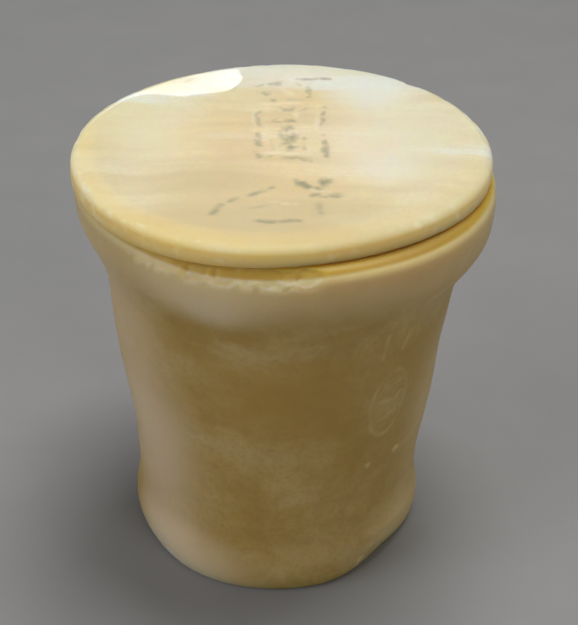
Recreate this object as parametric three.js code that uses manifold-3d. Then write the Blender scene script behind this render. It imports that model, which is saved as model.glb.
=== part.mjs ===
// Model jar with its flat disc lid, carved from banded travertine.
// Millimetres, +Z up. The origin is the centre of the jar's underside. The front, with the
// incised oval to its right, faces -Y. Azimuths are in degrees, anticlockwise from +X, seen from above.

import * as THREE from 'three';
import { mergeVertices } from 'three/addons/utils/BufferGeometryUtils.js';
import Module from 'manifold-3d';

// Jar, outside
const JAR_HEIGHT = 56.2;
const FOOT_EDGE_RADIUS = 20.5; // where the underside turns up
const FOOT_EDGE_ROUND = 0.7;
const FOOT_RADIUS = 21.0; // widest part of the foot
const FOOT_HEIGHT = 3.6;
const WAIST_RADIUS = 20.35;
const WAIST_HEIGHT = 10;
const NECK_RADIUS = 23.9; // where the wall starts to curl out into the rim
const NECK_HEIGHT = 40;

// Rolled rim
const RIM_RADIUS = 28.1;
const RIM_WIDEST_DROP = 2.7; // from the rim's flat top down to its widest line
const RIM_ARRIS_WIDTH = 1.9; // how far the rounded shoulder reaches in over the flat top
const RIM_HOLLOW_HANDLE = 7.5; // pull of the hollow below the rim, up the wall
const RIM_ROLL_HANDLE = 4.1; // pull of the roll, down from its widest line
const NECK_SLOPE = 0.13; // outward lean of the wall at the neck, radius per height
const RIM_SHIFT = 0.45; // the rim stands this much off the axis, towards +X

// Jar, inside: a drilled cavity
const WALL = 5.0; // at the waist
const MOUTH_RADIUS = 17.5;
const MOUTH_ROUND = 0.8;
const FLOOR_THICKNESS = 8.0;
const FLOOR_ROUND = 3.0;

// Lid
const LID_RADIUS = 27.45; // mean, as the lid is out of round
const LID_THICKNESS = 3.2;
const LID_TOP_ROUND = 0.8;
const LID_EDGE_BULGE = 0.25; // how far the edge bows out between its two arrises
const LID_UNDER_ROUND = 0.9;
const LID_RISE = 0.2; // the top climbs this much from the centre to the +X side
const BOSS_HEIGHT = 1.6; // low round boss under the lid, which keeps it on the mouth
const BOSS_CLEARANCE = 0.9;
const BOSS_ROUND = 0.5;

// Both pieces were ground by hand, so their plans bulge and flatten by small lobes
const LID_LOBES = [
  { count: 1, size: 0.33, towards: 154 },
  { count: 2, size: 0.75, towards: 38 },
  { count: 3, size: 0.25, towards: -8 },
  { count: 4, size: 0.19, towards: -21 },
];
const JAR_LOBES = [
  { count: 2, size: 0.18, towards: 52 },
  { count: 3, size: 0.1, towards: 75 },
];

// Swells and hollows left by the grinding; each adds its size at a place and fades out round it
const SWELLS = [
  { azimuth: 180, height: 27, size: 0.35, halfWidth: 60, halfHeight: 9 },
  { azimuth: 180, height: 45, size: -0.65, halfWidth: 60, halfHeight: 13 },
  { azimuth: 180, height: 7, size: -0.3, halfWidth: 60, halfHeight: 6 },
  { azimuth: 3, height: 21.5, size: 1.15, halfWidth: 55, halfHeight: 12 },
  { azimuth: 0, height: 48.2, size: 1.0, halfWidth: 60, halfHeight: 4.8 },
  { azimuth: -108, height: 0, size: 0.65, halfWidth: 36, halfHeight: 8 },
];

// The foot's lower edge is worn away, most on the front right
const WEAR = [
  { azimuth: -37, halfWidth: 36, depth: 4.2, height: 6.5 },
  { azimuth: -152, halfWidth: 30, depth: 1.1, height: 5.5 },
];

// Carved strokes
const STROKE_WIDTH = 0.7;
const STROKE_DEPTH = 0.3;
const RING_WIDTH = 0.8;

// Flake scars: each is a shallow bite of a small sphere, at an azimuth and a height on the jar
const SCAR_FACETS = 2;
const RIM_SCARS = [
  { azimuth: -131, below: 0.9, across: 2.2, depth: 0.25 },
  { azimuth: -124, below: 1.2, across: 4.2, depth: 0.5 },
  { azimuth: -117.5, below: 0.7, across: 2.0, depth: 0.4 },
  { azimuth: -113, below: 1.5, across: 3.6, depth: 0.95 },
  { azimuth: -108.5, below: 0.6, across: 2.2, depth: 0.4 },
  { azimuth: -103, below: 1.3, across: 4.0, depth: 0.6 },
  { azimuth: -97, below: 0.7, across: 2.4, depth: 0.4 },
  { azimuth: -92, below: 1.1, across: 3.4, depth: 0.35 },
];
const FOOT_SCARS = [
  { azimuth: -137, height: 1.6, across: 3.0, depth: 0.6 },
  { azimuth: -153, height: 2.4, across: 2.4, depth: 0.5 },
  { azimuth: -51, height: 2.4, across: 3.0, depth: 0.6 },
];
const BODY_SCARS = [
  { azimuth: -39, height: 19.8, across: 2.2, depth: 0.3 },
  { azimuth: -53, height: 19.5, across: 1.8, depth: 0.25 },
];
const LID_NICK = { azimuth: 48, across: 3.0, depth: 0.5 };

// Facets
const ROUND_SEGMENTS = 64;

const DEGREE = Math.PI / 180;
const point = (radius, height) => new THREE.Vector2(radius, height);
const smooth = (t) => t * t * (3 - 2 * t);
const clamp01 = (t) => Math.min(Math.max(t, 0), 1);

const outOfRound = (azimuth, lobes) =>
  lobes.reduce((sum, lobe) => sum + lobe.size * Math.cos(lobe.count * (azimuth - lobe.towards * DEGREE)), 0);

// Angle between two azimuths, in degrees, from 0 to 180
function apart(a, b) {
  const turn = Math.abs(a - b) % 360;
  return Math.min(turn, 360 - turn);
}

// The curve's points after its first, which the line before it already holds
const along = (curve, steps) => curve.getPoints(steps).slice(1);

// A soft turn between two points, drawn towards the corner given
const roundedCorner = (from, corner, to) => new THREE.QuadraticBezierCurve(from, corner, to);

// Jar's outer line, from the axis under the foot to the start of the mouth
const rimWidestHeight = JAR_HEIGHT - RIM_WIDEST_DROP;
const outerCurves = (() => {
  const footTurn = point(FOOT_EDGE_RADIUS - FOOT_EDGE_ROUND, 0);
  const footSide = point(FOOT_EDGE_RADIUS + FOOT_EDGE_ROUND * 0.2, FOOT_EDGE_ROUND);
  const foot = point(FOOT_RADIUS, FOOT_HEIGHT);
  const waist = point(WAIST_RADIUS, WAIST_HEIGHT);
  const neck = point(NECK_RADIUS, NECK_HEIGHT);
  const widest = point(RIM_RADIUS, rimWidestHeight);
  const flat = point(RIM_RADIUS - RIM_ARRIS_WIDTH, JAR_HEIGHT);
  const footRise = (FOOT_HEIGHT - FOOT_EDGE_ROUND) / 2;
  const waistRise = (WAIST_HEIGHT - FOOT_HEIGHT) / 2;
  const wallRise = (NECK_HEIGHT - WAIST_HEIGHT) / 3;
  return [
    { curve: roundedCorner(footTurn, point(FOOT_EDGE_RADIUS, 0), footSide), steps: 3 },
    { curve: roundedCorner(footSide, point(FOOT_RADIUS, FOOT_HEIGHT - footRise), foot), steps: 3 },
    {
      curve: new THREE.CubicBezierCurve(
        foot, point(FOOT_RADIUS, FOOT_HEIGHT + waistRise),
        point(WAIST_RADIUS, WAIST_HEIGHT - waistRise), waist),
      steps: 4,
    },
    {
      curve: new THREE.CubicBezierCurve(
        waist, point(WAIST_RADIUS, WAIST_HEIGHT + wallRise),
        point(NECK_RADIUS - wallRise * NECK_SLOPE, NECK_HEIGHT - wallRise), neck),
      steps: 8,
    },
    {
      curve: new THREE.CubicBezierCurve(
        neck, point(NECK_RADIUS + RIM_HOLLOW_HANDLE * NECK_SLOPE, NECK_HEIGHT + RIM_HOLLOW_HANDLE),
        point(RIM_RADIUS, rimWidestHeight - RIM_ROLL_HANDLE), widest),
      steps: 9,
    },
    { curve: roundedCorner(widest, point(RIM_RADIUS, JAR_HEIGHT), flat), steps: 5 },
  ];
})();
const outerLine = [
  point(FOOT_EDGE_RADIUS - FOOT_EDGE_ROUND, 0),
  ...outerCurves.flatMap(({ curve, steps }) => along(curve, steps)),
];

// Radius of the outer line at a height on the wall
function wallRadius(height) {
  for (let i = 1; i < outerLine.length; i += 1) {
    const low = outerLine[i - 1];
    const high = outerLine[i];
    if (height >= low.y && height <= high.y && high.y > low.y) {
      return low.x + (high.x - low.x) * (height - low.y) / (high.y - low.y);
    }
  }
  return NECK_RADIUS;
}

// Jar's inner line, from the mouth down to the axis at the cavity's floor
const cavityRadius = WAIST_RADIUS - WALL;
function innerLine() {
  const mouthTop = point(MOUTH_RADIUS + MOUTH_ROUND, JAR_HEIGHT);
  const mouthSide = point(MOUTH_RADIUS, JAR_HEIGHT - MOUTH_ROUND);
  const floorSide = point(cavityRadius, FLOOR_THICKNESS + FLOOR_ROUND);
  const floorTurn = point(cavityRadius - FLOOR_ROUND, FLOOR_THICKNESS);
  return [
    mouthTop,
    ...along(roundedCorner(mouthTop, point(MOUTH_RADIUS, JAR_HEIGHT), mouthSide), 3),
    floorSide,
    ...along(roundedCorner(floorSide, point(cavityRadius, FLOOR_THICKNESS), floorTurn), 4),
    point(0, FLOOR_THICKNESS),
  ];
}

// A closed profile spun round the Z axis
function turned(profile, segments) {
  const geometry = new THREE.LatheGeometry(profile, segments);
  geometry.rotateX(Math.PI / 2);
  return geometry;
}

// Moves each vertex by a function of its own azimuth, radius and height
function reshape(geometry, move) {
  const position = geometry.attributes.position;
  for (let i = 0; i < position.count; i += 1) {
    const x = position.getX(i);
    const y = position.getY(i);
    const z = position.getZ(i);
    const next = move(Math.atan2(y, x), Math.hypot(x, y), z);
    position.setXYZ(i, next.x, next.y, next.z);
  }
  return geometry;
}

const polar = (azimuth, radius, height) =>
  new THREE.Vector3(radius * Math.cos(azimuth), radius * Math.sin(azimuth), height);

// Share of the out-of-round form that a jar vertex takes: all outside, none in the drilled cavity
const outsideShare = (radius) => clamp01((radius - MOUTH_RADIUS - MOUTH_ROUND) / WALL);

// How much a swell or a worn place takes hold at an azimuth: 1 in its middle, 0 at its sides
const sideShare = (azimuth, { azimuth: middle, halfWidth }) =>
  smooth(clamp01(1 - apart(azimuth / DEGREE, middle) / halfWidth));

const footWear = (azimuth, height) => WEAR.reduce(
  (sum, worn) => sum + worn.depth * sideShare(azimuth, worn) * clamp01(1 - height / worn.height), 0);

const swelling = (azimuth, height) => SWELLS.reduce((sum, swell) => {
  const level = smooth(clamp01(1 - Math.abs(height - swell.height) / swell.halfHeight));
  return sum + swell.size * sideShare(azimuth, swell) * level;
}, 0);

// The jar's outside at an azimuth, from its turned radius at that height
function jarPoint(azimuth, radius, height) {
  const share = outsideShare(radius);
  const rim = smooth(clamp01((height - NECK_HEIGHT) / (rimWidestHeight - NECK_HEIGHT)));
  const handWork = outOfRound(azimuth, JAR_LOBES) + swelling(azimuth, height) - footWear(azimuth, height);
  const grown = radius + share * handWork;
  const place = polar(azimuth, grown, height);
  place.x += share * rim * RIM_SHIFT;
  return place;
}

// Solid joining and cutting
const wasm = await Module();
wasm.setup();

function toSolid(geometry) {
  const bare = geometry.clone();
  bare.deleteAttribute('normal');
  bare.deleteAttribute('uv');
  const merged = mergeVertices(bare, 1e-4);
  return new wasm.Manifold(new wasm.Mesh({
    numProp: 3,
    vertProperties: new Float32Array(merged.attributes.position.array),
    triVerts: new Uint32Array(merged.index.array),
  }));
}

function toGeometry(solid) {
  const mesh = solid.getMesh();
  const geometry = new THREE.BufferGeometry();
  geometry.setAttribute('position', new THREE.BufferAttribute(new Float32Array(mesh.vertProperties), 3));
  geometry.setIndex(new THREE.BufferAttribute(new Uint32Array(mesh.triVerts), 1));
  geometry.computeVertexNormals();
  return geometry;
}

const cutAll = (body, tools) => tools.reduce((left, tool) => left.subtract(toSolid(tool)), body);

// A small sphere that bites a scar of the given width and depth at a point of the surface
function scarTool(place, outward, across, depth) {
  const radius = (across * across / 4 + depth * depth) / (2 * depth);
  const sphere = new THREE.IcosahedronGeometry(radius, SCAR_FACETS);
  const centre = place.clone().addScaledVector(outward, radius - depth);
  sphere.translate(centre.x, centre.y, centre.z);
  return sphere;
}

const TOWARDS_TOP = 45 * DEGREE; // scars on an arris face up and out
function rimScar({ azimuth, below, across, depth }) {
  const turn = azimuth * DEGREE;
  const inset = RIM_ARRIS_WIDTH * 0.25;
  const place = jarPoint(turn, RIM_RADIUS - inset, JAR_HEIGHT - below);
  const outward = polar(turn, Math.cos(TOWARDS_TOP), Math.sin(TOWARDS_TOP));
  return scarTool(place, outward, across, depth);
}

function wallScar({ azimuth, height, across, depth }) {
  const turn = azimuth * DEGREE;
  return scarTool(jarPoint(turn, wallRadius(height), height), polar(turn, 1, 0), across, depth);
}

// A stroke tool in flat coordinates: along u and v on the surface, w out of it
const STROKE_SIDES = 6;

function strokeTool({ from, to }) {
  const start = new THREE.Vector2(...from);
  const end = new THREE.Vector2(...to);
  const length = start.distanceTo(end) + STROKE_WIDTH;
  const rod = new THREE.CylinderGeometry(STROKE_WIDTH / 2, STROKE_WIDTH / 2, length, STROKE_SIDES, 2);
  rod.scale(1, 1, 2 * STROKE_DEPTH / STROKE_WIDTH);
  rod.rotateZ(Math.atan2(end.y - start.y, end.x - start.x) - Math.PI / 2);
  rod.translate((start.x + end.x) / 2, (start.y + end.y) / 2, 0);
  return rod;
}

// A closed oval ring of the given half width and half height
function ringTool(centre, halfWidth, halfHeight) {
  const ring = new THREE.TorusGeometry(1, RING_WIDTH / 2 / halfWidth, STROKE_SIDES, 30);
  ring.scale(halfWidth, halfHeight, 2 * STROKE_DEPTH / RING_WIDTH * halfWidth);
  ring.translate(centre[0], centre[1], 0);
  return ring;
}

// Strokes on the lid, in its own plane: rows of plain marks down a column, +Y at the back
const LID_STROKES = [
  { from: [-3.4, 19.0], to: [-1.0, 19.6] },
  { from: [-2.4, 16.4], to: [-1.6, 14.2] },
  { from: [2.2, 21.2], to: [6.4, 21.8] },
  { from: [2.4, 18.6], to: [3.4, 15.4] },
  { from: [-3.6, 11.4], to: [-3.4, 5.6] },
  { from: [-0.6, 11.0], to: [2.4, 11.2] },
  { from: [5.4, 11.6], to: [5.4, 6.0] },
  { from: [-0.8, 7.0], to: [2.4, 6.6] },
  { from: [0.6, 3.4], to: [1.0, -0.6] },
  { from: [-3.4, 2.0], to: [-3.2, -3.8] },
  { from: [5.3, 2.4], to: [5.4, -3.6] },
  { from: [-1.4, -4.4], to: [3.2, -4.6] },
  { from: [-8.2, -19.2], to: [-5.6, -15.8] },
  { from: [-4.6, -15.6], to: [-1.6, -12.6] },
  { from: [2.6, -11.2], to: [5.8, -11.6] },
  { from: [4.2, -14.4], to: [6.8, -14.4] },
  { from: [4.3, -17.0], to: [4.6, -18.6] },
  { from: [-3.0, -21.2], to: [1.6, -21.0] },
];

// Strokes on the wall, from the middle of the oval: u to the right, v up, seen from outside
const MARK_PLACE = { azimuth: -49, height: 30 };
const MARK_RING = { halfWidth: 3.6, halfHeight: 6.2 };
const WALL_STROKES = [
  { from: [-1.6, 3.0], to: [1.6, 3.4] },
  { from: [-1.9, 0.9], to: [0.2, 0.4] },
  { from: [0.8, 0.2], to: [1.9, 1.2] },
  { from: [-1.3, -2.4], to: [1.4, -2.1] },
  { from: [-2.6, 8.6], to: [-2.2, 12.4] },
  { from: [0.6, 9.2], to: [1.6, 12.0] },
];

// Wraps a flat tool round the wall, about the marks' own place
function wrapOnWall(tool) {
  const across = wallRadius(MARK_PLACE.height);
  const position = tool.attributes.position;
  for (let i = 0; i < position.count; i += 1) {
    const height = MARK_PLACE.height + position.getY(i);
    const turn = MARK_PLACE.azimuth * DEGREE + position.getX(i) / across;
    const surface = jarPoint(turn, wallRadius(height), height);
    surface.addScaledVector(polar(turn, 1, 0), position.getZ(i));
    position.setXYZ(i, surface.x, surface.y, surface.z);
  }
  return tool;
}

function makeJar() {
  const profile = [point(0, 0), ...outerLine, ...innerLine()];
  const body = toSolid(reshape(turned(profile, ROUND_SEGMENTS), jarPoint));
  const marks = WALL_STROKES.map(strokeTool);
  marks.push(ringTool([0, 0], MARK_RING.halfWidth, MARK_RING.halfHeight));
  const scars = [...RIM_SCARS.map(rimScar), ...FOOT_SCARS.map(wallScar), ...BODY_SCARS.map(wallScar)];
  return toGeometry(cutAll(body, [...scars, ...marks.map(wrapOnWall)]));
}

// Lid: a disc whose edge takes the lobes, over a round boss that doesn't
const lidTop = (x) => JAR_HEIGHT + LID_THICKNESS + LID_RISE * x / LID_RADIUS;
const bossRadius = MOUTH_RADIUS - BOSS_CLEARANCE;

function lidProfile() {
  const bossFoot = JAR_HEIGHT - BOSS_HEIGHT;
  const top = JAR_HEIGHT + LID_THICKNESS;
  const bossTurn = point(bossRadius - BOSS_ROUND, bossFoot);
  const bossSide = point(bossRadius, bossFoot + BOSS_ROUND);
  const underTurn = point(LID_RADIUS - LID_UNDER_ROUND, JAR_HEIGHT);
  const edgeLow = point(LID_RADIUS, JAR_HEIGHT + LID_UNDER_ROUND);
  const edgeHigh = point(LID_RADIUS, top - LID_TOP_ROUND);
  const bulge = point(LID_RADIUS + 2 * LID_EDGE_BULGE, (edgeLow.y + edgeHigh.y) / 2);
  const topTurn = point(LID_RADIUS - LID_TOP_ROUND, top);
  return [
    point(0, bossFoot),
    bossTurn,
    ...along(roundedCorner(bossTurn, point(bossRadius, bossFoot), bossSide), 2),
    point(bossRadius, JAR_HEIGHT),
    underTurn,
    ...along(roundedCorner(underTurn, point(LID_RADIUS, JAR_HEIGHT), edgeLow), 3),
    ...along(new THREE.QuadraticBezierCurve(edgeLow, bulge, edgeHigh), 4),
    ...along(roundedCorner(edgeHigh, point(LID_RADIUS, top), topTurn), 3),
    point(0, top),
  ];
}

function lidPoint(azimuth, radius, height) {
  const share = smooth(clamp01((radius - bossRadius) / (LID_RADIUS - LID_UNDER_ROUND - bossRadius)));
  const place = polar(azimuth, radius + share * outOfRound(azimuth, LID_LOBES), height);
  const rise = clamp01((height - JAR_HEIGHT) / LID_THICKNESS);
  place.z += rise * (lidTop(place.x) - lidTop(0));
  return place;
}

function makeLid() {
  const body = toSolid(reshape(turned(lidProfile(), ROUND_SEGMENTS), lidPoint));
  const turn = LID_NICK.azimuth * DEGREE;
  const edge = lidPoint(turn, LID_RADIUS - LID_TOP_ROUND / 2, JAR_HEIGHT + LID_THICKNESS);
  const upAndOut = polar(turn, Math.cos(TOWARDS_TOP), Math.sin(TOWARDS_TOP));
  const nick = scarTool(edge, upAndOut, LID_NICK.across, LID_NICK.depth);
  const strokes = LID_STROKES.map(strokeTool).map((tool) => {
    const position = tool.attributes.position;
    for (let i = 0; i < position.count; i += 1) {
      position.setZ(i, position.getZ(i) + lidTop(position.getX(i)));
    }
    return tool;
  });
  return toGeometry(cutAll(body, [nick, ...strokes]));
}

// Finishes
const wallStone = new THREE.MeshStandardMaterial({ color: 0x9c8658, roughness: 0.42, metalness: 0 });
const lidStone = new THREE.MeshStandardMaterial({ color: 0xe0d2ae, roughness: 0.32, metalness: 0 });

function named(name, geometry, material) {
  const mesh = new THREE.Mesh(geometry, material);
  mesh.name = name;
  return mesh;
}

const group = new THREE.Group();
group.add(named('jar', makeJar(), wallStone));
group.add(named('lid', makeLid(), lidStone));

export default group;
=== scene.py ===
# %% [markdown]
# # A model jar of banded travertine, with its disc lid
# The object is two pieces of the same translucent stone: a small waisted jar with a rolled rim, and
# a flat lid that lies on it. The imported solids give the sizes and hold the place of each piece. Here
# each one is made again as a fine mesh, so that the worn arrises, the flake scars and the shallow
# strokes are real relief, and then it gets its stone.

# %% Load the frame
import math

import bpy
import numpy as np
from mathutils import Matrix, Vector, noise


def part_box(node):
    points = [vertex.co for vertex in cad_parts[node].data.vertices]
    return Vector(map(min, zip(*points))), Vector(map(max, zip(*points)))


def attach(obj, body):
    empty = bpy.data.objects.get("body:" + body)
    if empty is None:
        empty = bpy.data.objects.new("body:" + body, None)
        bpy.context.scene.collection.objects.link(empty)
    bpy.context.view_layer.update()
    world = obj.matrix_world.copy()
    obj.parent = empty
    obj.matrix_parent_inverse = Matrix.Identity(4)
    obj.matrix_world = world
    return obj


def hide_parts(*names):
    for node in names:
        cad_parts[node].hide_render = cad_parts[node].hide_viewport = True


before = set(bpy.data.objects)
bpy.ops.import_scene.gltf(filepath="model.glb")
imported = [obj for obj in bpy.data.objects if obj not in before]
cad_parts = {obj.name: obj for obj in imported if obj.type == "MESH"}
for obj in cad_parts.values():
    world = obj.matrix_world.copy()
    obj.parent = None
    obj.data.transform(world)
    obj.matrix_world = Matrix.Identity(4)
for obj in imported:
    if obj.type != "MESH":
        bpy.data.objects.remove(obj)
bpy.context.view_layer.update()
_, jar_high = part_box("jar")
_, lid_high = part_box("lid")

# %% [markdown]
# ## Sizes
# A turned vessel is read as one line spun round an axis. The values below are that line's named
# points, in millimetres, as a stone worker would gauge them with callipers. The jar's height comes
# from the frame, so the fine jar sits on its imported solid; the lid's top is only printed.

# %% Named sizes in millimetres
MM = 0.001
JAR_HEIGHT = jar_high.z / MM
FOOT_EDGE_RADIUS, FOOT_EDGE_ROUND = 20.5, 0.7
FOOT_RADIUS, FOOT_HEIGHT = 21.0, 3.6
WAIST_RADIUS, WAIST_HEIGHT = 20.35, 10.0
NECK_RADIUS, NECK_HEIGHT, NECK_SLOPE = 23.9, 40.0, 0.13
RIM_RADIUS, RIM_WIDEST_DROP, RIM_ARRIS_WIDTH = 28.1, 2.7, 1.9
RIM_HOLLOW_HANDLE, RIM_ROLL_HANDLE, RIM_SHIFT = 7.5, 4.1, 0.45
WALL, MOUTH_RADIUS, MOUTH_ROUND = 5.0, 17.5, 0.8
FLOOR_THICKNESS, FLOOR_ROUND = 8.0, 3.0

LID_RADIUS, LID_THICKNESS = 27.45, 3.2
LID_TOP_ROUND, LID_UNDER_ROUND, LID_EDGE_BULGE, LID_RISE = 1.3, 0.5, 0.05, 0.2
LID_WORN = dict(azimuth=-62, half=95, reach=4.2, depth=0.65)
BOSS_HEIGHT, BOSS_CLEARANCE, BOSS_ROUND = 1.6, 0.9, 0.5

# lobes of the hand-ground plans: how many, how high, towards which azimuth
LID_LOBES = ((1, 0.33, 154), (2, 0.75, 38), (3, 0.25, -8), (4, 0.19, -21))
JAR_LOBES = ((2, 0.18, 52), (3, 0.10, 75))
# azimuth, height, size, half width in degrees, half height
SWELLS = (
    (180, 27, 0.35, 60, 9), (180, 45, -0.65, 60, 13), (180, 7, -0.3, 60, 6),
    (3, 21.5, 1.15, 55, 12), (0, 48.2, 1.0, 60, 4.8), (-108, 0, 0.65, 36, 8),
)
# azimuth, half width in degrees, depth, height it reaches up to
WEAR = ((-37, 36, 4.2, 6.5), (-152, 30, 1.1, 5.5))

ROUND_STEPS = 448
print("jar height", round(JAR_HEIGHT, 2), "mm, lid top", round(lid_high.z / MM, 2), "mm")

# %% [markdown]
# ## A profile that keeps its points where the detail is
# Each stretch of the line is a Bezier curve with three or four control points. The stretches are
# joined, measured along their length, and cut again into even steps, finer where a stretch has
# chips or a sharp turn. Even steps make near-square faces, which take relief without tearing.

# %% Profile helpers
def smooth(t):
    t = np.clip(t, 0, 1)
    return t * t * (3 - 2 * t)


def bezier(points, steps=60):
    """A Bezier curve through the first and last point, as an array of radius and height."""
    t = np.linspace(0, 1, steps)[:, None]
    line = [np.array(p, float) for p in points]
    while len(line) > 1:
        line = [a * (1 - t) + b * t for a, b in zip(line[:-1], line[1:])]
    return line[0]


def even(stretches):
    """Joins stretches, each cut to its own step length, into one line."""
    out = []
    for points, step in stretches:
        dense = bezier(points)
        run = np.r_[0, np.cumsum(np.hypot(*np.diff(dense, axis=0).T))]
        count = max(2, int(math.ceil(run[-1] / step)) + 1)
        at = np.linspace(0, run[-1], count)
        line = np.stack([np.interp(at, run, dense[:, k]) for k in (0, 1)], 1)
        out.append(line if not out else line[1:])
    return np.concatenate(out)


# step lengths along the jar's line; the hidden stretches can be coarse
FINE_STEP, FOOT_STEP, WALL_STEP, RIM_TOP_STEP, MOUTH_STEP = 0.22, 0.3, 0.42, 0.9, 0.4
UNDERSIDE_STEP, FLOOR_TURN_STEP, HIDDEN_STEP = 2.0, 1.0, 3.0
widest = JAR_HEIGHT - RIM_WIDEST_DROP
foot_rise = (FOOT_HEIGHT - FOOT_EDGE_ROUND) / 2
waist_rise = (WAIST_HEIGHT - FOOT_HEIGHT) / 2
wall_rise = (NECK_HEIGHT - WAIST_HEIGHT) / 3
cavity = WAIST_RADIUS - WALL
foot_turn = (FOOT_EDGE_RADIUS - FOOT_EDGE_ROUND, 0)
foot_side = (FOOT_EDGE_RADIUS + FOOT_EDGE_ROUND * 0.2, FOOT_EDGE_ROUND)
rim_flat = (RIM_RADIUS - RIM_ARRIS_WIDTH, JAR_HEIGHT)
mouth_top = (MOUTH_RADIUS + MOUTH_ROUND, JAR_HEIGHT)
mouth_side = (MOUTH_RADIUS, JAR_HEIGHT - MOUTH_ROUND)
floor_side = (cavity, FLOOR_THICKNESS + FLOOR_ROUND)
floor_turn = (cavity - FLOOR_ROUND, FLOOR_THICKNESS)

jar_line = even([
    ([(0, 0), foot_turn], UNDERSIDE_STEP),
    ([foot_turn, (FOOT_EDGE_RADIUS, 0), foot_side], FINE_STEP),
    ([foot_side, (FOOT_RADIUS, FOOT_HEIGHT - foot_rise), (FOOT_RADIUS, FOOT_HEIGHT)], FOOT_STEP),
    ([(FOOT_RADIUS, FOOT_HEIGHT), (FOOT_RADIUS, FOOT_HEIGHT + waist_rise),
      (WAIST_RADIUS, WAIST_HEIGHT - waist_rise), (WAIST_RADIUS, WAIST_HEIGHT)], WALL_STEP),
    ([(WAIST_RADIUS, WAIST_HEIGHT), (WAIST_RADIUS, WAIST_HEIGHT + wall_rise),
      (NECK_RADIUS - wall_rise * NECK_SLOPE, NECK_HEIGHT - wall_rise),
      (NECK_RADIUS, NECK_HEIGHT)], WALL_STEP),
    ([(NECK_RADIUS, NECK_HEIGHT),
      (NECK_RADIUS + RIM_HOLLOW_HANDLE * NECK_SLOPE, NECK_HEIGHT + RIM_HOLLOW_HANDLE),
      (RIM_RADIUS, widest - RIM_ROLL_HANDLE), (RIM_RADIUS, widest)], WALL_STEP),
    ([(RIM_RADIUS, widest), (RIM_RADIUS, JAR_HEIGHT), rim_flat], FINE_STEP),
    ([rim_flat, mouth_top], RIM_TOP_STEP),
    ([mouth_top, (MOUTH_RADIUS, JAR_HEIGHT), mouth_side], MOUTH_STEP),
    ([mouth_side, floor_side], HIDDEN_STEP),
    ([floor_side, (cavity, FLOOR_THICKNESS), floor_turn], FLOOR_TURN_STEP),
    ([floor_turn, (0, FLOOR_THICKNESS)], HIDDEN_STEP),
])
print("jar line:", len(jar_line), "rings")

# %% [markdown]
# ## Stone that was ground by hand
# The wheel for stone came much later, so a jar like this is never quite round: its plan has lobes,
# the rim stands a little off the axis, and the foot is worn away on one side. Those are gentle
# shifts of the whole ring, written here as functions of azimuth and height.

# %% Hand-ground form
DEGREE = math.pi / 180
# within so many millimetres a point counts as on a plane: on the cavity's floor, and elsewhere
HAIR, TOUCH = 0.1, 0.02


def out_of_round(azimuth, lobes):
    return sum(size * np.cos(count * (azimuth - towards * DEGREE)) for count, size, towards in lobes)


def apart(azimuth, degrees):
    """Angle between azimuths in radians and one in degrees, in degrees."""
    turn = np.abs(azimuth / DEGREE - degrees) % 360
    return np.minimum(turn, 360 - turn)


def facing(azimuth, middle, half):
    """1 on the side that faces an azimuth in degrees, falling to 0 at half a width from it."""
    return smooth(1 - apart(azimuth, middle) / half)


def hand_work(azimuth, height):
    """What grinding and wear add to the jar's radius at a place."""
    grown = out_of_round(azimuth, JAR_LOBES)
    for middle, level, size, half, half_height in SWELLS:
        side = facing(azimuth, middle, half)
        grown = grown + size * side * smooth(1 - np.abs(height - level) / half_height)
    for middle, half, depth, reach in WEAR:
        side = facing(azimuth, middle, half)
        grown = grown - depth * side * np.clip(1 - height / reach, 0, 1)
    return grown


def jar_surface(azimuth, radius, height):
    """Place on the jar, in millimetres, of a point of its line turned to an azimuth."""
    share = np.clip((radius - MOUTH_RADIUS - MOUTH_ROUND) / WALL, 0, 1)
    # the drilled cavity stays a true circle
    share = np.where((height < FLOOR_THICKNESS - HAIR) | (radius > MOUTH_RADIUS), share, 0)
    rim = smooth((height - NECK_HEIGHT) / (widest - NECK_HEIGHT))
    grown = radius + share * hand_work(azimuth, height)
    x = grown * np.cos(azimuth) + share * rim * RIM_SHIFT
    return np.stack([x, grown * np.sin(azimuth), height + 0 * azimuth], -1)


def lid_rise_at(x):
    return LID_RISE * x / LID_RADIUS


def lid_surface(azimuth, radius, height):
    """Place on the lid, in millimetres, of a point of its line turned to an azimuth."""
    boss = MOUTH_RADIUS - BOSS_CLEARANCE
    share = smooth((radius - boss) / (LID_RADIUS - LID_UNDER_ROUND - boss))
    grown = radius + share * out_of_round(azimuth, LID_LOBES)
    x = grown * np.cos(azimuth)
    worn = facing(azimuth, LID_WORN["azimuth"], LID_WORN["half"])
    worn = worn * smooth((radius - LID_RADIUS + LID_WORN["reach"]) / LID_WORN["reach"])
    rise = lid_rise_at(x) - LID_WORN["depth"] * worn
    rise = rise * np.clip((height - JAR_HEIGHT) / LID_THICKNESS, 0, 1)
    return np.stack([x, grown * np.sin(azimuth), height + rise], -1)


def wall_radius(height):
    """Radius of the jar's outer line at a height."""
    outer = jar_line[:np.argmax(jar_line[:, 1])]
    return np.interp(height, outer[:, 1], outer[:, 0])


print("swells and worn places:", len(SWELLS) + len(WEAR), "and the waist is", WAIST_RADIUS, "mm")

# %% [markdown]
# ## Relief: grain, scars and strokes
# Three things mark the surface, and each is a depth taken off along the outward direction, so
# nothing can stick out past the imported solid.
#
# - Grain: soft uneven grinding, as slow noise.
# - Scars: where a flake came off an arris, the break is a shallow bowl. A vertex inside a small ball
#   is pushed to the ball's far side, which is what a cutter would leave, and noise frets its edge.
# - Strokes: a shallow groove along each short line, deepest in the middle.

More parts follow.
